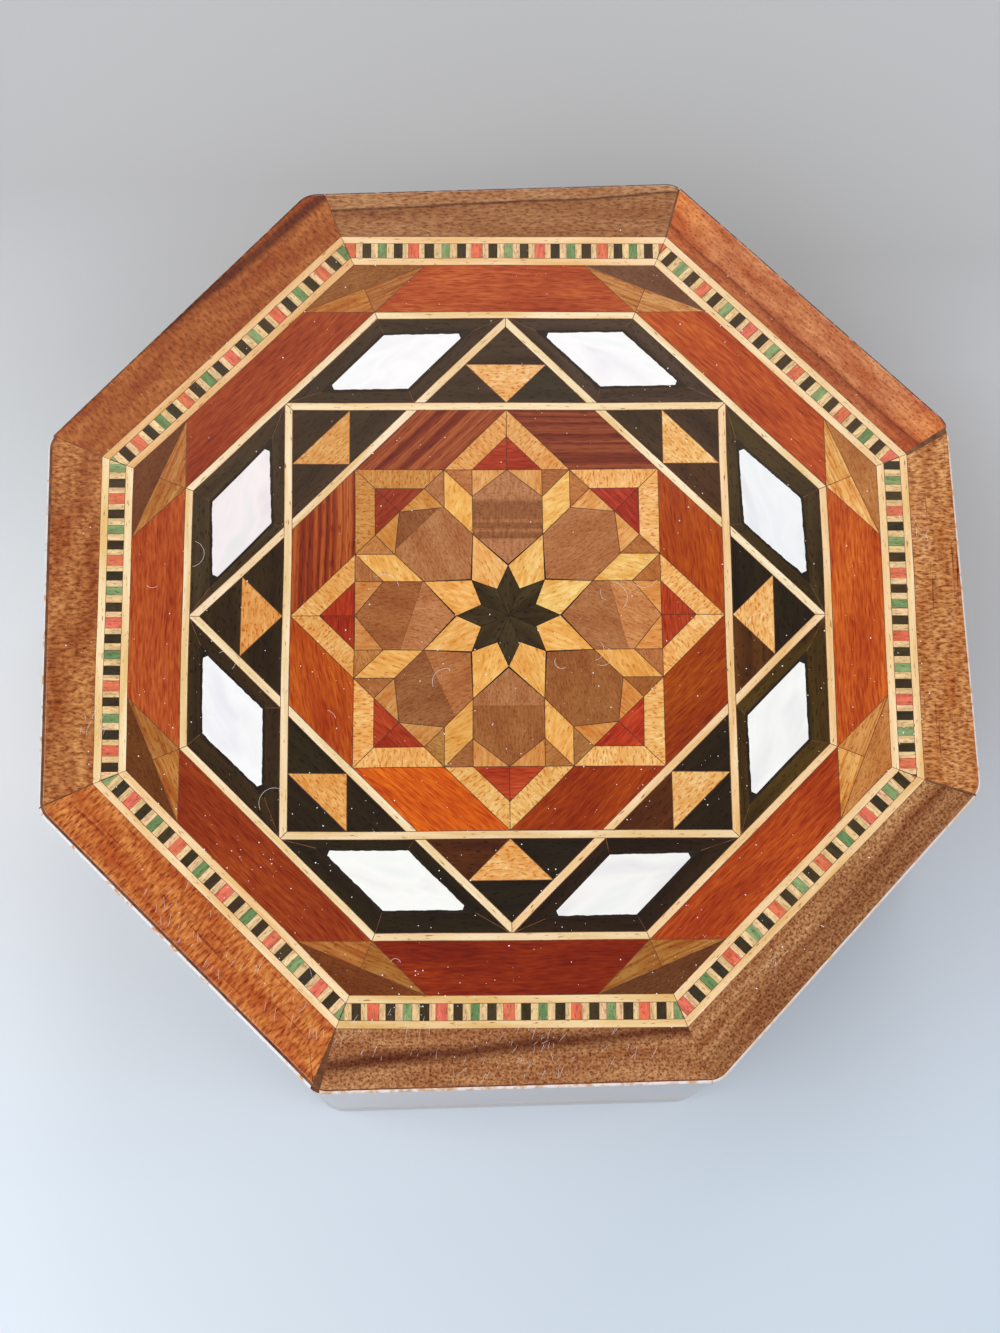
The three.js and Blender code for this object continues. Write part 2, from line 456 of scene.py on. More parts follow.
def dressed(piece, material, tone, grainTurn, start=None):
    # the board's tone, and its grain in millimetres: along grainTurn on top, level on upright faces;
    # start is where the grain's map begins, and without it each board is cut from a place of its own
    mesh = piece.data
    mesh.materials.clear()
    mesh.materials.append(material)
    toneLayer = mesh.attributes.new("boardTone", "FLOAT_COLOR", "CORNER")
    mesh.uv_layers.new(name="grain")
    for layer in [layer for layer in mesh.uv_layers if layer.name != "grain"]:
        mesh.uv_layers.remove(layer)
    grainLayer = mesh.uv_layers["grain"]
    along = Vector((math.cos(grainTurn), math.sin(grainTurn), 0))
    over = Vector((-along.y, along.x, 0))
    reach = plank["reach"]
    board = Vector((dice.uniform(-reach, reach), dice.uniform(-reach, reach)))
    if start:
        start = Vector((*start, 0)) / mm
        board = -Vector((start.dot(along), start.dot(over)))
    colour = linear(tone)
    for face in mesh.polygons:
        x, y, cut = along, over, Vector((0, 0))
        if abs(face.normal.z) <= 0.5:
            x, y = Vector((-face.normal.y, face.normal.x, 0)), Vector((0, 0, 1))
            cut.x = plank["nextSide"] * round(math.atan2(x.y, x.x) / step)
        for corner in face.loop_indices:
            place = mesh.vertices[mesh.loops[corner].vertex_index].co / mm
            grainLayer.data[corner].uv = board + cut + Vector((place.dot(x), place.dot(y)))
            toneLayer.data[corner].color = colour
    return piece


def around(piece, materials, tones, grainTurn, places=range(8), start=None):
    # a piece for each side or corner, with its own wood and tone, its grain turned with it;
    # tones is a string of one tone, or of one for each side
    made, tones = [], tones.split()
    for k in places:
        material = materials[k] if isinstance(materials, list) else materials
        grain = grainTurn[k] if isinstance(grainTurn, list) else grainTurn
        tone = tones[k % len(tones)]
        made.append(dressed(copied(piece, turnOf(k)), material, tone, grain + k * step, start))
    bpy.data.objects.remove(piece)
    return made


def pick(piece, wanted):
    # selects the wanted edges and no others, and says whether there are any
    bpy.context.view_layer.objects.active = piece
    openMesh()
    bpy.ops.mesh.select_all(action="DESELECT")
    bpy.ops.mesh.select_mode(type="EDGE")
    closeMesh()
    for edge in piece.data.edges:
        edge.select = wanted(*(piece.data.vertices[i].co for i in edge.vertices))
    return any(edge.select for edge in piece.data.edges)


def divide(piece, longest):
    # long edges get more vertices, so that a cut can stray along its length
    while pick(piece, lambda start, end: (end - start).length > longest):
        openMesh()
        bpy.ops.mesh.subdivide(number_cuts=1)
        bpy.ops.mesh.select_mode(type="VERT")
        closeMesh()


# Saw cuts stray in slow waves, and need a vertex at least this often to bend at
saw = {"waves": {"X": 26 * mm, "Y": 31 * mm}, "vertexGap": 7 * mm}
wander = {}
for direction, wave in saw["waves"].items():
    wander[direction] = bpy.data.textures.new("saw wander " + direction, "CLOUDS")
    wander[direction].noise_scale = wave


def displaced(piece, texture, direction, strength, group=""):
    stray = piece.modifiers.new("stray", "DISPLACE")
    stray.texture, stray.texture_coords, stray.direction = texture, "GLOBAL", direction
    stray.strength, stray.mid_level, stray.vertex_group = strength, 0.5, group
    bpy.context.view_layer.objects.active = piece
    bpy.ops.object.modifier_apply(modifier=stray.name)


def joined(pieces):
    deselect()
    for piece in pieces:
        piece.select_set(True)
    bpy.context.view_layer.objects.active = pieces[0]
    if len(pieces) > 1:
        bpy.ops.object.join()
    return bpy.context.object


def glued(name, pieces, slot, *nodes, ease=0.03 * mm, strays=0.5 * mm, within=None):
    # joins the pieces, eases their edges, and lets every saw cut within a reach stray a little
    whole = joined(pieces)
    whole.name = whole.data.name = name
    openMesh()
    selectMesh()
    bpy.ops.mesh.normals_make_consistent(inside=False)
    closeMesh()
    if ease:
        edge = whole.modifiers.new("eased edge", "BEVEL")
        edge.width, edge.segments, edge.limit_method, edge.angle_limit = ease, 1, "ANGLE", math.radians(30)
        bpy.ops.object.modifier_apply(modifier=edge.name)
        openMesh()
        selectMesh()
        bpy.ops.mesh.dissolve_degenerate(threshold=touching)  # where a sliver left no room for easing
        closeMesh()
    if strays:
        divide(whole, saw["vertexGap"])
        free = [v.index for v in whole.data.vertices if not within or reachOf(v.co) < within]
        whole.vertex_groups.new(name="free").add(free, 1.0, "REPLACE")
        for direction, clouds in wander.items():
            displaced(whole, clouds, direction, strays, "free")
        whole.vertex_groups.clear()
    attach(whole, "root")
    if nodes:
        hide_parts(*nodes)
    return whole


# The carcase: a bottom board and walls of deal, faced on the outside with 1 mm of walnut
wallLook = {
    "facing": 1.0 * mm, "line": 0.85 * mm, "lineInset": 3.0 * mm, "ease": 0.12 * mm,
    "round": 3.0 * mm,  # of the outer corners
    "bottomTone": "B98F5E", "coreTone": "C09A68", "facingTone": "8E5A38", "lineTone": "F0D6A0",
}
wallLow, wallHigh = (Vector(corner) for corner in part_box("wall_n"))
bottomTop = wallLow.z
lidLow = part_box("lid_board")[0][2]
wallOuter = outlineOf("bottom_board")
across = outward(wallOuter[-1], wallOuter[0])
spread = [v.co.xy.dot(across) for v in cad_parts["wall_n"].data.vertices]
wallFacing = shrunk(wallOuter, [wallLook["facing"]] * 8)
wallInner = shrunk(wallOuter, [max(spread) - min(spread)] * 8)

wallCorners = cornerCuts(wallOuter, wallLook["round"])
facings = [mitred(wallFacing, wallOuter, k) for k in range(8)]
endCuts = [wallCorners[k - 1] + wallCorners[k] for k in range(8)]

bottom = [dressed(sawn(wallFacing, bottomTop, bottomTop), deal, wallLook["bottomTone"], 0.0)]
for k in range(8):
    skirt = sawn(facings[k], bottomTop, bottomTop, endCuts[k])
    bottom.append(dressed(skirt, walnut, wallLook["facingTone"], k * step))
glued("bottomBoard", bottom, "carcase_wood", "bottom_board", ease=wallLook["ease"], strays=0)

upper, lower = wallHigh.z - wallLook["lineInset"], wallLow.z + wallLook["lineInset"]
levels = [wallHigh.z, upper, upper - wallLook["line"], lower + wallLook["line"], lower, wallLow.z]
for k, side in enumerate(sides):
    core = sawn(mitred(wallInner, wallFacing, k), wallHigh.z, wallHigh.z - wallLow.z)
    courses = [dressed(core, deal, wallLook["coreTone"], k * step)]
    for i, (high, low) in enumerate(zip(levels, levels[1:])):
        course = sawn(facings[k], high, high - low, endCuts[k])
        veneer = (boxwood, wallLook["lineTone"]) if i % 2 else (walnut, wallLook["facingTone"])
        courses.append(dressed(course, *veneer, k * step))
    glued("wall_" + side + "_panel", courses, "walnut", "wall_" + side, ease=wallLook["ease"], strays=0)
print("carcase built")

# The lid's two boards
lidLook = {
    "round": 3.0 * mm, "ease": 0.12 * mm, "panelEase": 0.3 * mm,
    "tone": "8A5636",
    "bedInset": 0.3 * mm, "bedLevel": surface - 0.02 * mm, "bedDepth": inlayThickness * 0.9,
}
lidOutline = outlineOf("lid_board")
lidCorners = cornerCuts(lidOutline, lidLook["round"])
everyCorner = [cut for cuts in lidCorners for cut in cuts]
lidBoard = sawn(lidOutline, lidTop - inlayThickness, lidTop - inlayThickness - lidLow, everyCorner)
dressed(lidBoard, walnut, lidLook["tone"], 0.0)
glued("lidBoard", [lidBoard], "walnut", "lid_board", ease=lidLook["ease"], strays=0)
panelLow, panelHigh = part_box("lid_locating_panel")
panel = sawn(outlineOf("lid_locating_panel"), panelHigh[2], panelHigh[2] - panelLow[2])
dressed(panel, deal, wallLook["coreTone"], 0.0)
glued("locatingPanel", [panel], "carcase_wood", "lid_locating_panel", ease=lidLook["panelEase"], strays=0)

# Glue stands in every seam, a hair below the surface
bedOutline = shrunk(lidOutline, [lidLook["bedInset"]] * 8)
bedCorners = [(place - away * lidLook["bedInset"], away) for place, away in everyCorner]
bed = sawn(bedOutline, lidLook["bedLevel"], lidLook["bedDepth"], bedCorners)
bed.data.materials.append(glue)
glued("glueBed", [bed], "walnut", ease=0, strays=0)

# The rings of the lid, measured on the CAD pieces with half a CAD glue line added
halfGlue = 0.05 * mm
panelLineWidth = 0.85 * mm
bandInner, bandOuter = reaches("banding_n", 0)
bandInner -= halfGlue
bandOuter += halfGlue
lineInner = reaches("star_panel_line", 0)[1] + halfGlue - panelLineWidth
lineOuter = lineInner + panelLineWidth
borderStart = bandOuter + 1 * mm  # a little way into the border

border = {
    "arrisWidths": [0.4, 0.4, 0.7, 0.7, 0.55, 0.45, 0.4, 0.4],  # of the rounded outer edge, millimetres
    # on the lit sides the arris is rubbed pale with a painted highlight; on the far sides, n, nw and ne, it
    # is painted shade
    "arrisWearAndLightLooks": [
        paintedShadeArris, paintedShadeArris, rubbedArrisWithHighlight, rubbedArrisWithHighlight, softWearAndHighlightArris, softWearAndHighlightArris, chipsAndHighlightOnArris, paintedShadeArris,
    ],
    # each mitre: half of its glue-filled gap, then how far its two cuts have strayed clockwise
    # from the true line where they reach lidReach out; all in millimetres
    "mitres": [
        (0.04, 0.3, 0.3), (0.04, 0, 0), (0.08, -0.3, -0.3), (0.05, 0, -1.4),
        (0.02, 0, 0), (0.12, -1.0, -1.0), (0.2, -1.3, -1.9), (0.12, -1.3, -1.3),
    ],
}
# The grain is mapped from the middle of the side, and outwards from the banding
borderBoards = {
    # light brown, with one dark vein
    "n": ("walnut", "veined walnut", "C89C6E", [
        cloud(14, 2, "DCC4B0"),
        mottle(1.0, 0.3, "CCB2A2"),
        streak(4.4, 3.2, 1.6, [
            (0.0, "EADACC"), (0.42, "E0CCBC"), (0.5, "8C7260"), (0.58, white), (1.0, "F8E8DC")]),
        pores(0.8, 0.34, "C0A290", 0.44),
    ]),
    # red brown, darker in a streak near the edge
    "nw": ("walnut", "red walnut", "BC7238", [
        cloud(9, 2.4, "D4A890"),
        mottle(0.4, 1.0, "D4B8A6"),
        streak(6.2, -3.4, 0.9, [(0.0, white), (0.4, "9C7868"), (0.7, "9C7868"), (1.0, "F0D8CC")]),
        pores(0.34, 0.8, "CCAC98", 0.42),
    ]),
    # golden brown, dappled across the grain
    "w": ("padauk", "dappled padauk", "E2A462", [
        cloud(9, 3, "C89C80"),
        cloud(20, 4, "E0C8BC"),
        mottle(0.4, 0.9, "B48E70"),
        pores(0.28, 0.7, "C4A084", 0.44),
    ]),
    # orange, with long soft dark lines
    "sw": ("padauk", "orange padauk", "E8984E", [
        cloud(10, 2.6, "D4A080"),
        mottle(0.4, 1.2, "C09070"),
        flecks(10, 0.4, "CFA48C", 0.34),
        pores(0.32, 1.0, "BC8868", 0.42),
    ]),
    # dull brown and close pored, with a slanting dark band
    "s": ("dark_walnut", "close-pored walnut", "CE9A68", [
        cloud(12, 2.0, "D0B09A"),
        mottle(0.45, 0.34, "BC9A82"),
        streak(2.0, 5.4, 1.3, [(0.0, white), (0.42, "A08070"), (0.56, "A08070"), (1.0, white)]),
        pores(0.34, 0.34, "A88670", 0.46),
    ]),
    # pale by the banding and greyer outside
    "se": ("dark_walnut", "two-toned walnut", "ECC490", [
        cloud(16, 1.4, "CCAC94"),
        mottle(0.42, 0.36, "BE9C84"),
        streak(2.6, 3.6, 0.9, [(0.0, "E2D2C6"), (0.7, "C4AA98"), (0.8, "BCA08E"), (1.0, "C6AE9E")]),
        pores(0.36, 0.36, "AA8872", 0.46),
    ]),
    # golden, with many small dark pores
    "e": ("padauk", "golden padauk", "E6AA6C", [
        cloud(8, 2.4, "DCBC98"),
        mottle(0.36, 0.9, "B48C6A"),
        flecks(9, 0.26, "B48868", 0.31),
        pores(0.28, 0.75, "B08C68", 0.46),
    ]),
    # rosy brown, warmer at its ends, with a fine dark vein
    "ne": ("walnut", "rosy walnut", "ECAC74", [
        cloud(8, 2.4, "D4A488"),
        mottle(1.6, 0.4, "DCC0AE"),
        streak(0, 90, 21, [(0.0, "FFDEB8"), (0.2, "F4E8E6"), (0.8, "F2E4E0"), (1.0, "FFDCB4")]),
        streak(1.5, 0.4, 0.9, [
            (0.0, "E4C8B8"), (0.4, "CCA894"), (0.5, "9C7864"), (0.62, "E8CCBC"), (1.0, white)]),
        pores(0.6, 0.36, "CCA890", 0.42),
    ]),
}


def mitreEnd(k, stray):
    # a place on the mitre beyond corner k of the lid
    return polar(k + 0.5, lidReach) - facing(k + 2.5) * stray * mm


def onArris(k, start, end):
    # whether an edge lies along the lid's upper outer arris on side k
    run = (end.xy - start.xy).normalized()
    outside = reachOf((start + end) / 2) > borderStart and abs(run.cross(facing(k))) > 0.7
    return outside and min(start.z, end.z) > surface - 0.01 * mm


lidEdges = [(lidOutline[k], outward(lidOutline[k - 1], lidOutline[k])) for k in range(8)]
for k, (side, (slot, look, tone, layers)) in enumerate(borderBoards.items()):
    before, after = border["mitres"][k - 1], border["mitres"][k]
    ends = [mitreEnd(k - 1, before[2]), mitreEnd(k, after[1])]
    inner = [meet(k, bandOuter, k + 1, bandOuter), meet(k - 1, bandOuter, k, bandOuter)]
    outline = shrunk([*ends, *inner], [0, after[0] * mm, glueLine / 2, before[0] * mm])
    waste = [lidEdges[k - 1], lidEdges[k], lidEdges[(k + 1) % 8], *lidCorners[k - 1], *lidCorners[k]]
    board = sawn(outline, surface, inlayThickness, waste)
    pick(board, lambda start, end: onArris(k, start, end))
    openMesh()
    bpy.ops.mesh.bevel(offset=border["arrisWidths"][k] * mm, segments=4, profile=0.5)
    bpy.ops.mesh.select_mode(type="VERT")
    closeMesh()
    dressed(board, wood("varnished " + look, layers, relief=0.3), tone, k * step, polar(k, bandOuter))
    board.data.materials.append(border["arrisWearAndLightLooks"][k])
    for face in board.data.polygons:
        if 0.1 < face.normal.z < 0.98:
            face.material_index = 1
    glued("border_" + side + "_board", [board], slot, "border_" + side, ease=0, within=borderStart)
print("border laid")

# The striped banding: veneers glued face to face between two pale lines
banding = {
    "line": 0.87 * mm,
    "repeat": 7.38 * mm,  # from one green to the next
    "black": 1.05 * mm, "green": 1.0 * mm, "coral": 1.25 * mm,
    "wobble": 0.06 * mm,  # of each cut
    "starts": [-0.4, 4.1, 4.4, 3.7, 3.4, 0.7, 1.2, 0.4],  # millimetres from the side's middle to a green
    "lineTones": "FEDCAE F0C48E FFE8BA FEE0B2 F4D6A2 F6D4A2 FFE2B4 FEE4BC",
    "tones": {
        "black": "40341C 4A3C24 443420 3C3424",
        "green": "80A068 749660 8EAA70 96B078",
        "coral": "F2805E F47858 EE7E58 F67C64",
        "pale": "FCD89E FEDCA6 F8D298 FED4A2",
    },
}
deselect()
bpy.ops.mesh.primitive_cube_add(size=1)
block = bpy.context.object
blockDepth = bandOuter - bandInner - 2 * banding["line"]
blockMiddle = (bandInner + bandOuter) / 2
halfLength = bandOuter * math.tan(step / 2)
for k, side in enumerate(sides):
    half = banding["repeat"] / 2
    start = banding["starts"][k] * mm
    cuts = []
    for j in range(-7, 8):
        colour = "green" if j % 2 == 0 else "coral"
        cuts.append((start + j * half, banding[colour], colour))
        cuts.append((start + (j + 0.5) * half, banding["black"], "black"))
    veneers = []
    for (at, width, colour), (nextAt, nextWidth, _) in zip(cuts, cuts[1:]):
        wobble = dice.uniform(-banding["wobble"], banding["wobble"])
        left, right = at - width / 2 + wobble, at + width / 2 + wobble
        veneers += [(left, right, colour), (right, nextAt - nextWidth / 2, "pale")]
    blocks = []
    for left, right, colour in veneers:
        if abs(left + right) / 2 > halfLength:
            continue
        place = Vector((middle.x - (left + right) / 2, middle.y + blockMiddle, surface - inlayThickness / 2))
        size = (right - left - glueLine / 2, blockDepth - glueLine, inlayThickness, 1)
        cut = copied(block, Matrix.Translation(place) @ Matrix.Diagonal(size))
        blocks.append(dressed(cut, dyedVeneer, dice.choice(banding["tones"][colour].split()), math.pi / 2))
    strip = joined(blocks)
    openMesh()
    for sign in (-1, 1):  # trimmed along both mitres
        across = facing(0.5 * sign)
        away = Vector((-across.y, across.x)) * sign
        cutOff(middle.xy - away * glueLine, away, fill=True)
    closeMesh()
    strips = [strip]
    for inner, outer in [(bandInner, bandInner + banding["line"]), (bandOuter - banding["line"], bandOuter)]:
        line = inlaid(mitred(even(inner), even(outer), 0))
        strips.append(dressed(line, boxwood, banding["lineTones"].split()[k], 0.0))
    for piece in strips:
        piece.data.transform(turnOf(k))
    glued("banding_" + side + "_stripes", strips, "banding", "banding_" + side, ease=0.02 * mm)
bpy.data.objects.remove(block)
print("banding laid")

# Mahogany strips, and a diamond pieced from three woods at each corner
mahoganyTones = "D4743A B45524 D07032 AC4E16 9E3806 C85E1C E07828 D26A28"
cut = meet(0, bandInner, 1, lineOuter)
cutBack = meet(0, bandInner, -1, lineOuter)
strip = inlaid([cutBack, cut, meet(0, lineOuter, 1, lineOuter), meet(0, lineOuter, -1, lineOuter)])
for side, piece in zip(sides, around(strip, mahogany, mahoganyTones, 0.0)):
    glued("mahogany_" + side + "_strip", [piece], "mahogany", "mahogany_" + side)

diamond = {
    "brown": "9E6834 744222 744418 7E4418 6E4220 D2924E C28648 78543C",
    "goldLeft": "B87C46 C2884C B88042 BC7E3E AC783A EAB466 FECE86 D49E62",
    "goldRight": "C68640 C08848 C48844 AE7838 B4803E DA9C58 F2C276 C88E54",
}
inner, corner = meet(0, lineOuter, 1, lineOuter), meet(0, bandInner, 1, bandInner)
nextCut = meet(0, lineOuter, 1, bandInner)
seam = (cut + nextCut) / 2
brown = around(inlaid([cut, corner, nextCut]), heartwood, diamond["brown"], step / 2)
goldLeft = around(inlaid([inner, seam, cut]), streakedGold, diamond["goldLeft"], step / 2)
goldRight = around(inlaid([inner, nextCut, seam]), streakedGold, diamond["goldRight"], step / 2)
for name, *pieces in zip(corners, brown, goldLeft, goldRight):
    glued("diamond_" + name + "_pieces", pieces, "corner_wood", "diamond_" + name)
print("mahogany and diamonds laid")

# The star panel: pale lines cross in two squares, over a ground of ebony
star = {
    "reach": 25.1 * mm,  # the middle of each pale line
    "width": 0.9 * mm,
    "lineTones": "FEE8BE FAE4C0 FEECC8 FEEECC F6DEB4 FCDEB4 FCDCAE FEEECA",
    "darkTones": "443322 402D1C 382810 2E200C 261C0C 2A1D09 281D09 422E1A",
    "clearTones": "3A3020 3A2D1A 36260E 2E220C 5A2B0A 5E2E0B 623810 502E10",
    "goldTones": "FAD093 E4B26C ECB26A F0BC72 F6C884 F6D090 FFD898 FFDC9C",
}
near, far = star["reach"] - star["width"] / 2, star["reach"] + star["width"] / 2
panelEdge = lineInner - glueLine / 2

panelLine = inlaid(mitred(even(lineInner), even(lineOuter), 0))
glued("starPanelLine", around(panelLine, boxwood, star["lineTones"], 0.0), "stringing", "star_panel_line")

stopped = [(polar(sign, panelEdge), facing(sign)) for sign in (-1, 1)]  # tips end at the panel's line
whole = met((0, far, -2, far), (0, far, 2, far), (0, near, 2, near), (0, near, -2, near))
short = met((0, far, -1, near), (0, far, 1, near), (0, near, 1, near), (0, near, -1, near))
tipLeft = met((0, far, 1, far), (0, far, 2, far), (0, near, 2, near), (0, near, 1, far))
tipRight = met((0, far, -2, far), (0, far, -1, far), (0, near, -1, far), (0, near, -2, near))
lines = around(inlaid(whole, stopped), boxwood, star["lineTones"], 0.0, range(0, 8, 2))
for outline in (short, tipLeft, tipRight):
    lines += around(inlaid(outline, stopped), boxwood, star["lineTones"], 0.0, range(1, 8, 2))
glued("starLines", lines, "stringing", "ebony_star_panel")

tip, left, right = meet(1, near, -1, near), meet(0, far, 1, near), meet(0, far, -1, near)
tipLeftMiddle, tipRightMiddle, baseMiddle = (tip + left) / 2, (tip + right) / 2, (left + right) / 2
darkTips = []
for outline, tones in (
    ([tip, tipLeftMiddle, tipRightMiddle], star["darkTones"]),
    ([left, baseMiddle, tipLeftMiddle], star["darkTones"]),
    ([right, baseMiddle, tipRightMiddle], star["clearTones"]),
):
    darkTips += around(inlaid(outline), ebony, tones, 0.0)
glued("starTips", darkTips, "ebony", "ebony_star_panel")
goldTip = inlaid([tipLeftMiddle, tipRightMiddle, baseMiddle])
goldTips = around(goldTip, speckledWood, star["goldTones"], 0.0)
glued("starTipGold", goldTips, "corner_wood", "ebony_star_panel")
print("star lines laid")

# Mother-of-pearl lozenges, set in mastic inside mitred frames of ebony
pearl = {
    "frame": 1.6 * mm,
    "clearance": 0.22 * mm,  # of mastic all round
    "length": 16.1 * mm,  # between its two blunted tips
    "chipping": 0.16 * mm,
    "frameTones": "423222 463620 3E2C12 2A1F0A 301D0A 503A0C 443416 4A382C",
    "tones": "FFFFFF FAF2F2 FFFFFF FFFFFA FBFAF6 FDFEFA F6F9FA FFFFFF",
    # each lozenge and its pocket sit a little off: millimetres across, millimetres out, degrees
    "sits": [
        (0, -0.15, 0.6), (0.3, -0.5, 1.7), (-0.65, -0.1, 0.4), (-0.2, -0.6, 0),
        (-0.3, -0.15, 0.9), (-0.5, -0.4, 0.4), (-0.3, -0.4, 1.3), (0.45, 0, 0.8),
    ],
    "mastic": "2A2119",
}


def lozengeOf(outer, inner):
    # the lozenge between these reaches, on both of its sides
    return met((0, outer, 1, outer), (0, inner, 1, outer), (0, inner, 1, inner), (0, outer, 1, inner))


frameOut = lozengeOf(lineInner, far)
pocketOut, pocketIn = lineInner - pearl["frame"], far + pearl["frame"]
pocket = lozengeOf(pocketOut, pocketIn)
axis = facing(0.5)
sideways = Vector((-axis.y, axis.x))
centre = middle.xy + axis * (pocketOut + pocketIn) / 2 / math.cos(step / 2)
blunt = [(centre + sideways * sign * pearl["length"] / 2, sideways * sign) for sign in (-1, 1)]
lozenge = sawn(shrunk(wound(pocket), [pearl["clearance"]] * 4), surface, inlayThickness, blunt)
divide(lozenge, 0.5 * mm)
chips = bpy.data.textures.new("chipping", "CLOUDS")
chips.noise_scale, chips.noise_depth = 0.7 * mm, 2
frames = []
for k, corner in enumerate(corners):
    across, out, degrees = pearl["sits"][k]
    shifted = centre + (sideways * across + axis * out) * mm
    seat = Matrix.Translation((*shifted, 0)) @ Matrix.Rotation(math.radians(degrees), 4, "Z")
    seat = seat @ Matrix.Translation((*-centre, 0))
    seated = [(seat @ Vector((*place, 0))).xy for place in pocket]
    for i in range(4):
        bar = inlaid([frameOut[i - 1], frameOut[i], seated[i], seated[i - 1]])
        lie = math.atan2(*(frameOut[i] - frameOut[i - 1]).yx)
        frames += around(bar, ebony, pearl["frameTones"], lie, [k])
    mastic = sawn(shrunk(wound(seated), [-glueLine] * 4), surface - 0.01 * mm, inlayThickness / 2)
    frames += around(mastic, ebony, pearl["mastic"], 0.0, [k])
    piece = copied(lozenge, turnOf(k) @ seat)
    dressed(piece, nacre, pearl["tones"].split()[k], (k + 0.5) * step)
    for direction in "XY":
        displaced(piece, chips, direction, pearl["chipping"])
    glued("pearl_" + corner + "_lozenge", [piece], "mother_of_pearl", "pearl_" + corner, ease=0.05 * mm)
glued("pearlFrames", frames, "ebony", "ebony_star_panel")
bpy.data.objects.remove(lozenge)
print("pearls set")

# The rosette, laid out on two smaller squares: all its corners come from these reaches
rose = {
    "square": near / math.sqrt(2),  # its outer squares touch the pale lines at their middles
    "arm": 2.3 * mm,
    "petalStart": 6.05 * mm, "kiteEnd": 10.45 * mm,
    "starTip": 5.9 * mm, "starNotch": 3.35 * mm,
}
square = rose["square"]
inside = square - rose["arm"]
crossing = meet(0, square, 1, square)
petalHalf, petalWaist = rose["kiteEnd"] * math.sin(step / 2), rose["kiteEnd"] * math.cos(step / 2)
rhombEdge = (square / math.cos(step / 2) - rose["kiteEnd"]) / (2 * math.cos(step / 2))
petalShoulder = petalWaist + rhombEdge


def spot(across, out):
    return middle.xy + Vector((across, out))


rhomb = inlaid(met((0, near, 1, near), (0, near, 1, square), (0, square, 1, square), (0, square, 1, near)))
rhombTones = "AC5A2E BC6228 D8741E FC8A18 B4500A B85C0E C86416 9C4E2C"
rhombWoods = [stripedMahogany, stripedMahogany] + [mahogany] * 5 + [stripedMahogany]
rhombTurns = [step, step, 0.2, 0.1, step, 0.0, 0.1, step]
rhombs = around(rhomb, rhombWoods, rhombTones, rhombTurns)
glued("rosetteRhombs", rhombs, "mahogany", "rosette")

chevronTones = "EEBA78 D29C56 F2C47E F8C880 F6D08A FCD490 FED28E FED292"
tipOut, tipIn, foot = meet(1, square, -1, square), meet(1, inside, -1, inside), spot(0, square)
arms = []
for sign in (1, -1):
    arm = [tipOut, meet(sign, square, 0, square), meet(sign, inside, 0, square), tipIn]
    arms += around(inlaid(arm), speckledWood, chevronTones, sign * step + math.pi / 2)

redTones = "C24826 AE4822 BA401C C45228 D25C2E DA5830 C85226 C0422C"
reds = []
for sign in (1, -1):
    red = [tipIn, meet(sign, inside, 0, square), foot]
    reds += around(inlaid(red), mahogany, redTones, 0.0)

petal = {
    "outline": [
        spot(0, rose["petalStart"]), spot(petalHalf, petalWaist), spot(petalHalf, petalShoulder),
        foot, spot(-petalHalf, petalShoulder), spot(-petalHalf, petalWaist),
    ],
    # a seam crosses some petals: two points on it, millimetres across and out, then the two tones
    "seams": {
        1: ((-4.2, 14.6), (4.2, 14.6), "9A643A", "BE8454"),
        2: ((-4.2, 12.4), (4.2, 9.7), "AC6E3E", "CA8E5C"),
        3: ((-4.2, 12.6), (4.2, 9.5), "A26C40", "C0804C"),
        4: ((-4.2, 10.5), (4.2, 10.5), "AA703E", "BC8454"),
        6: ((-4.2, 11.5), (4.2, 13.6), "DA9A60", "BA8050"),
    },
    "tones": {0: "BE8256", 5: "A66C3A", 7: "BE8252"},
    "grains": [0.0, 1.2, 1.4, 1.2, 1.6, 1.0, 1.2, 1.3],
    "woods": [barredHeartwood] + [heartwood] * 7,
}
petals = []
for k in range(8):
    parts = [([], petal["tones"].get(k))]
    if k in petal["seams"]:
        start, end, outerTone, innerTone = petal["seams"][k]
        start, end = spot(start[0] * mm, start[1] * mm), spot(end[0] * mm, end[1] * mm)
        away = outward(start, end)
        parts = [([(start, away)], outerTone), ([(start, -away)], innerTone)]
    for cuts, tone in parts:
        plate = inlaid(petal["outline"], cuts)
        centred = None if k else middle.xy  # the barred petal is streaked from the middle out
        petals += around(plate, petal["woods"], tone, petal["grains"][k], [k], centred)

kiteTones = "FACA86 FECA7C F8C87C FED07E FACA7A FECE7C FFE092 FED88C"
kiteEnd = polar(0.5, rose["kiteEnd"])
kite = [polar(0.5, rose["starNotch"]), polar(0, rose["starTip"]), kiteEnd, polar(1, rose["starTip"])]
kites = around(inlaid(kite), goldenWood, kiteTones, 2.0)
rhombGoldTones = "FED07C FACC7C F4C070 EEBC6C FAC878 F6C070 FEDA8C FED686"
rhombLeft, rhombRight = kiteEnd + facing(0) * rhombEdge, kiteEnd + facing(1) * rhombEdge
rhombGold = inlaid([kiteEnd, rhombLeft, crossing, rhombRight])
rhombsGold = around(rhombGold, goldenWood, rhombGoldTones, 0.4 * math.pi)
brownLeft = [rhombLeft, crossing, spot(-petalHalf, square)]
brownLeftTones = "CA8650 D09454 CC904E BE8C48 BC8044 B07238 C68042 C48246"
brownRight = [rhombRight, crossing, meet(1, square, -1, petalHalf)]
brownRightTones = "C28656 C08450 BC7E48 B27844 B8864C C27E4A C28248 B87842"
browns = around(inlaid(brownLeft), heartwood, brownLeftTones, 0.3)
browns += around(inlaid(brownRight), heartwood, brownRightTones, 0.9)
shoulderTones = "E6B070 D8A058 D89C60 D49C5E DEA462 E0A05A EAAC68 ECB472"
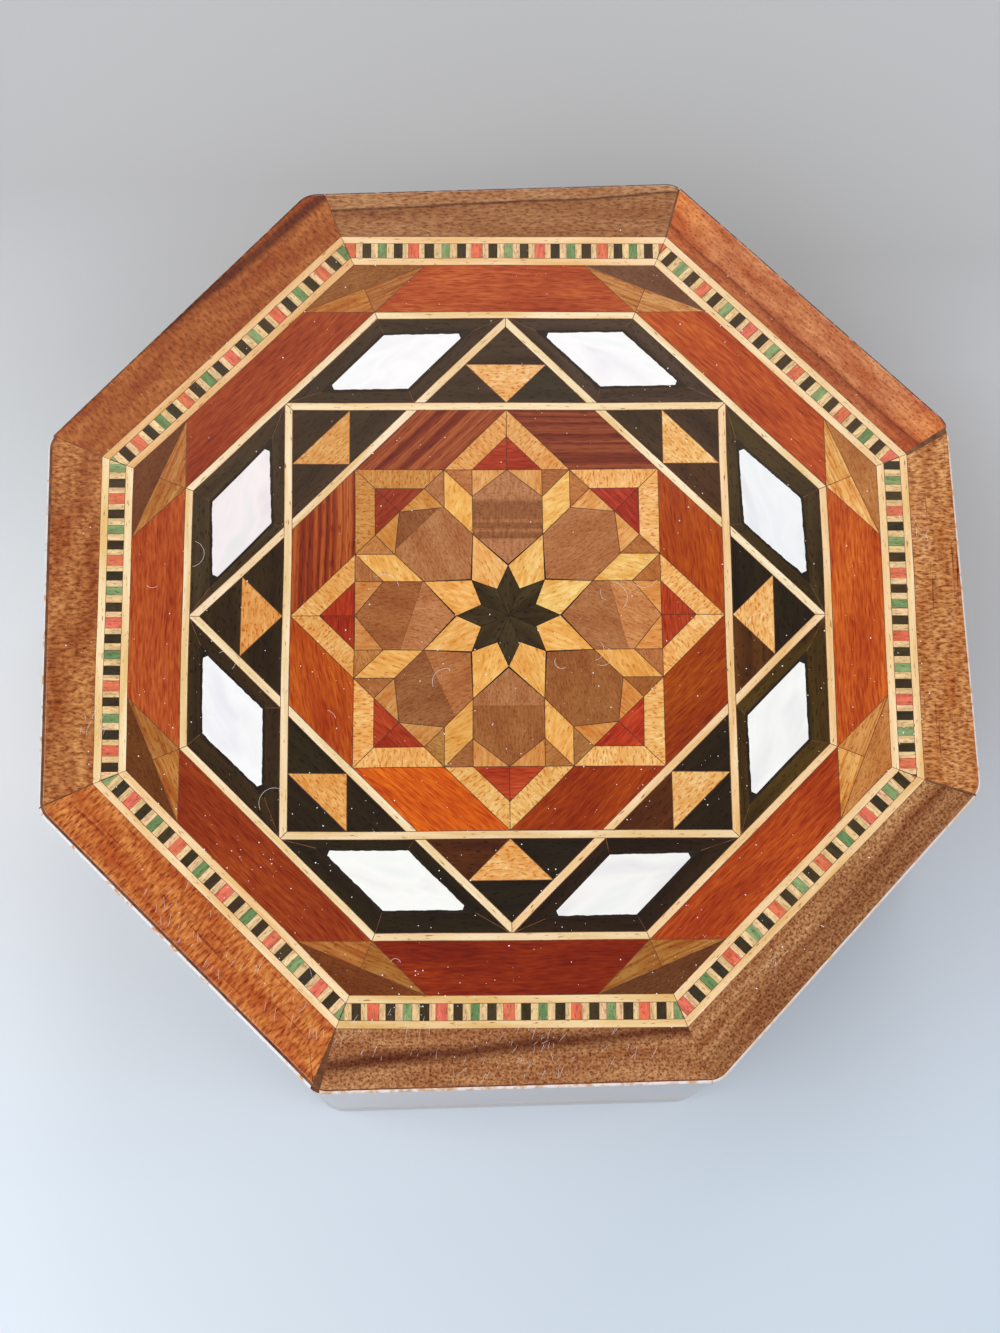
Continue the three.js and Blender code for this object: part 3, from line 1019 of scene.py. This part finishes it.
shoulders = []
for sign in (-1, 1):
    shoulder = [foot, spot(sign * petalHalf, petalShoulder), spot(sign * petalHalf, square)]
    shoulders += around(inlaid(shoulder), goldenWood, shoulderTones, math.pi / 2)
rosette = {
    "Chevrons": arms, "Reds": reds, "Petals": petals, "Kites": kites, "GoldRhombs": rhombsGold,
    "Browns": browns, "Shoulders": shoulders,
}
for name, pieces in rosette.items():
    glued("rosette" + name, pieces, "rosette_wood", "rosette")

dart = [middle.xy, polar(-0.5, rose["starNotch"]), polar(0, rose["starTip"]), polar(0.5, rose["starNotch"])]
glued("centreStar", around(inlaid(dart), ebony, "46381E", math.pi / 2), "ebony", "centre_star")
print("rosette laid")

# Dust and lint caught in the varnish, most of it over the near half
dust = {
    "specks": 1300, "sizes": (0.03, 0.095),  # how many, and the radius in millimetres
    "reach": 50 * mm, "thickness": 0.03 * mm, "level": surface + 0.01 * mm,
    "scratches": 110, "scratchWidth": 0.012 * mm,
    # where the varnish was rubbed dull: bearing in degrees, millimetres out
    "rubs": [(12, 48), (195, 48), (274, 47.5), (306, 48.5)], "scratchesInRub": 14,
    "fibres": 20, "fibreRadius": 0.017 * mm,
}
dustMaterial = newMaterial("white dust", {"Base Color": linear("F4F2F2"), "Roughness": 0.6})[0]
deselect()
bpy.ops.mesh.primitive_cylinder_add(vertices=6, radius=1, depth=1)
speck = bpy.context.object
specks = []


def outAt(angle, radius):
    return middle.xy + Vector((math.cos(angle), math.sin(angle))) * radius


def caught(place, turn, halfLength, halfWidth):
    # one more speck, flat in the varnish
    lie = Matrix.Translation((*place, dust["level"])) @ Matrix.Rotation(turn, 4, "Z")
    specks.append(copied(speck, lie @ Matrix.Diagonal((halfLength, halfWidth, dust["thickness"], 1))))


for i in range(dust["specks"]):
    place = outAt(dice.uniform(0, 2 * math.pi), dust["reach"] * math.sqrt(dice.random()))
    if place.y > middle.y and dice.random() < 0.6:
        continue
    low, high = dust["sizes"]
    size = (low + (high - low) * dice.random() ** 2) * mm
    caught(place, dice.uniform(0, 3), size, size * dice.uniform(0.6, 1))
for i in range(dust["scratches"]):
    # fine scratches run inwards from the most handled edges
    place = outAt(dice.uniform(1.2, 1.6) * math.pi, (51.5 - 6 * dice.random() ** 2) * mm)
    caught(place, dice.gauss(1.2, 0.3), dice.uniform(0.2, 0.9) * mm, dust["scratchWidth"])
for degrees, radius in dust["rubs"]:
    for i in range(dust["scratchesInRub"]):
        place = outAt(math.radians(degrees), radius * mm)
        place += Vector((dice.gauss(0, 0.9), dice.gauss(0, 0.9))) * mm
        caught(place, dice.gauss(1.2, 0.5), dice.uniform(0.15, 0.6) * mm, dust["scratchWidth"])
for i in range(dust["fibres"]):
    # a thread bent into part of a circle
    curl = dice.uniform(0.4, 1.8) * mm
    place = outAt(dice.uniform(math.pi * 0.9, 2.1 * math.pi), dice.uniform(5, 42) * mm)
    deselect()
    bpy.ops.mesh.primitive_circle_add(
        vertices=5, radius=dust["fibreRadius"], fill_type="NGON",
        location=(place.x + curl, place.y, dust["level"]), rotation=(math.pi / 2, 0, 0),
    )
    fibre = bpy.context.object
    bpy.ops.object.transform_apply(location=True, rotation=True, scale=False)
    openMesh()
    selectMesh()
    sweep = {"steps": 16, "angle": dice.uniform(0.8, 3.2), "center": (*place, 0), "axis": (0, 0, 1)}
    bpy.ops.mesh.spin(**sweep)
    closeMesh()
    there = Matrix.Translation((*place, 0))
    fibre.data.transform(there @ Matrix.Rotation(dice.uniform(0, 6), 4, "Z") @ there.inverted())
    specks.append(fibre)
bpy.data.objects.remove(speck)
for piece in specks:
    piece.data.materials.clear()
    piece.data.materials.append(dustMaterial)
glued("dustAndLint", specks, "stringing", ease=0, strays=0)
print("dust settled")

# The floor: a pale table top with painted light and shade in its colour, bluish white on the left and greyer
# to the right and far off
floorWithPaintedLight = {
    "size": 6, "nearToFar": (-0.06, 0.075), "leftToRight": (-0.06, 0.06),  # metres
    "left": [(0.0, "E4F0FA"), (0.37, "F5FBFF"), (0.59, "E8F0F4"), (0.78, "D8DDE0"), (0.98, "C2C4C6")],
    "right": [(0.0, "CAD8E4"), (0.24, "CDD6E0"), (0.6, "D2D5D8"), (0.78, "D0D4D8"), (0.9, "BEC1C3")],
}
deselect()
bpy.ops.mesh.primitive_plane_add(size=floorWithPaintedLight["size"])
floor = bpy.context.object
floor.name = "floor"
floorMaterial, floorTree, floorShader = newMaterial("pale table top with painted light and shade", {"Roughness": 0.5})
place = addNode(floorTree, "TexCoord")["Object"]
place = addNode(floorTree, "SeparateXYZ", {0: place})
spans = []
for axis, (low, high) in (("Y", floorWithPaintedLight["nearToFar"]), ("X", floorWithPaintedLight["leftToRight"])):
    span = {"Value": place[axis], "From Min": low, "From Max": high}
    spans.append(addNode(floorTree, "MapRange", span)[0])
# the ramps of painted light: brighter on the left and near, darker as painted shade to the right and far off
paintedLightRamps = []
for stops in (floorWithPaintedLight["left"], floorWithPaintedLight["right"]):
    paintedLightRamps.append(addNode(floorTree, "ValToRGB", {"Fac": spans[0]}, stops)["Color"])
tint = addNode(floorTree, "Mix", {0: spans[1], 6: paintedLightRamps[0], 7: paintedLightRamps[1]}, data_type="RGBA")
floorTree.links.new(tint[2], floorShader.inputs["Base Color"])
floor.data.materials.append(floorMaterial)

view = {
    "from": (-6.47, -68.9, 256.9),  # millimetres from the middle of the lid's top
    "along": (0.0208, 0.2380, -0.9710),
    "roll": 4.63,
    "lens": 63.47,
}
forward = Vector(view["along"]).normalized()
level = forward.cross(Vector((0, 0, 1))).normalized()
upright = level.cross(forward)
roll = math.radians(view["roll"])
rightward = level * math.cos(roll) + upright * math.sin(roll)
upward = rightward.cross(forward)
eye = Vector((middle.x, middle.y, lidTop)) + Vector(view["from"]) * mm
turn = Matrix((rightward, upward, -forward)).transposed().to_4x4()
bpy.ops.object.camera_add()
camera = bpy.context.object
camera.matrix_world = Matrix.Translation(eye) @ turn
camera.data.lens, camera.data.sensor_width, camera.data.sensor_fit = view["lens"], 36, "AUTO"
camera.data.clip_start, camera.data.clip_end = 0.01, 20
bpy.context.scene.camera = camera

lamps = [
    # place in metres, size, watts, colour
    ((-0.85, -0.3, 1.05), 1.2, 10.7, "FCFDFF"),
    ((-0.15, -0.95, 1.0), 1.1, 7.5, "ECF5FF"),
    ((0.95, -0.25, 0.9), 0.9, 5.6, "FCFDFF"),
    ((0.3, 1.15, 0.8), 0.9, 5.0, "FBFCFF"),
    ((0.0, 0.85, 1.4), 0.8, 1.3, "FFDCC0"),
]
for place, size, watts, colour in lamps:
    bpy.ops.object.light_add(type="AREA", location=place)
    lamp = bpy.context.object
    lamp.data.size, lamp.data.energy, lamp.data.color = size, watts, linear(colour)[:3]
    lamp.rotation_euler = (-Vector(place)).to_track_quat("-Z", "Y").to_euler()
world = bpy.data.worlds.new("room")
world.use_nodes = True
world.node_tree.nodes["Background"].inputs["Color"].default_value = linear("FFF2E8")
world.node_tree.nodes["Background"].inputs["Strength"].default_value = 0.15
bpy.context.scene.world = world
bpy.context.scene.view_settings.view_transform = "Standard"
print("lit")
